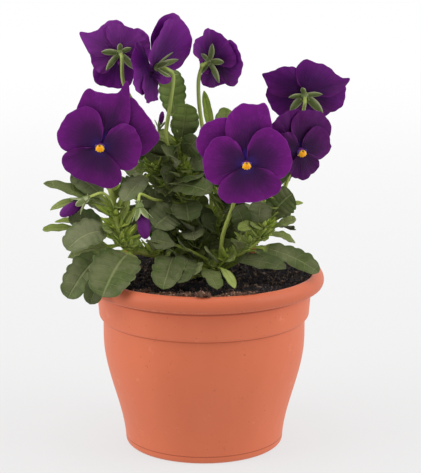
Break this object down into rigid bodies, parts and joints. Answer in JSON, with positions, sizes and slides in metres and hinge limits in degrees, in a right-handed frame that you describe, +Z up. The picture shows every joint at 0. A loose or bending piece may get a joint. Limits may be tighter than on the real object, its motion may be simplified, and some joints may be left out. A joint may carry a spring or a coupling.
{
  "type": "potted pansy planter",
  "caption": "Round flared plastic flowerpot filled with compost, planted with a leafy pansy that carries open flowers and buds.",
  "frame": {"origin": "centre of the pot's underside, in the plane that it stands on", "axes": "+Z up along the pot's axis; -Y towards the viewer of the picture, +X to the viewer's right"},
  "size_m": [0.161, 0.13, 0.2352],
  "materials": {
    "pot_plastic": "terracotta-coloured moulded plastic, matt with a faint sheen",
    "compost": "moist dark peat compost with dry brown crumbs",
    "foliage": "dull green leaf with a fine down",
    "petals": "velvety dark violet petal",
    "flower_eye": "yellow flower eye, matt"
  },
  "bodies": {
    "root": {"pot": "pot_plastic", "soil": "compost", "shoot_left": "foliage", "shoot_middle": "foliage", "shoot_right": "foliage", "shoot_back": "foliage", "flower_front_left": "petals", "flower_front_left_eye": "flower_eye", "flower_top_left": "petals", "flower_top_left_eye": "flower_eye", "flower_top_middle": "petals", "flower_top_middle_eye": "flower_eye", "flower_top_centre": "petals", "flower_top_centre_eye": "flower_eye", "flower_top_right": "petals", "flower_top_right_eye": "flower_eye", "flower_front_right": "petals", "flower_front_right_eye": "flower_eye", "flower_right": "petals", "flower_right_eye": "flower_eye", "bud_left": "petals", "bud_hanging": "petals", "bud_upper": "petals"}
  },
  "joints": []
}
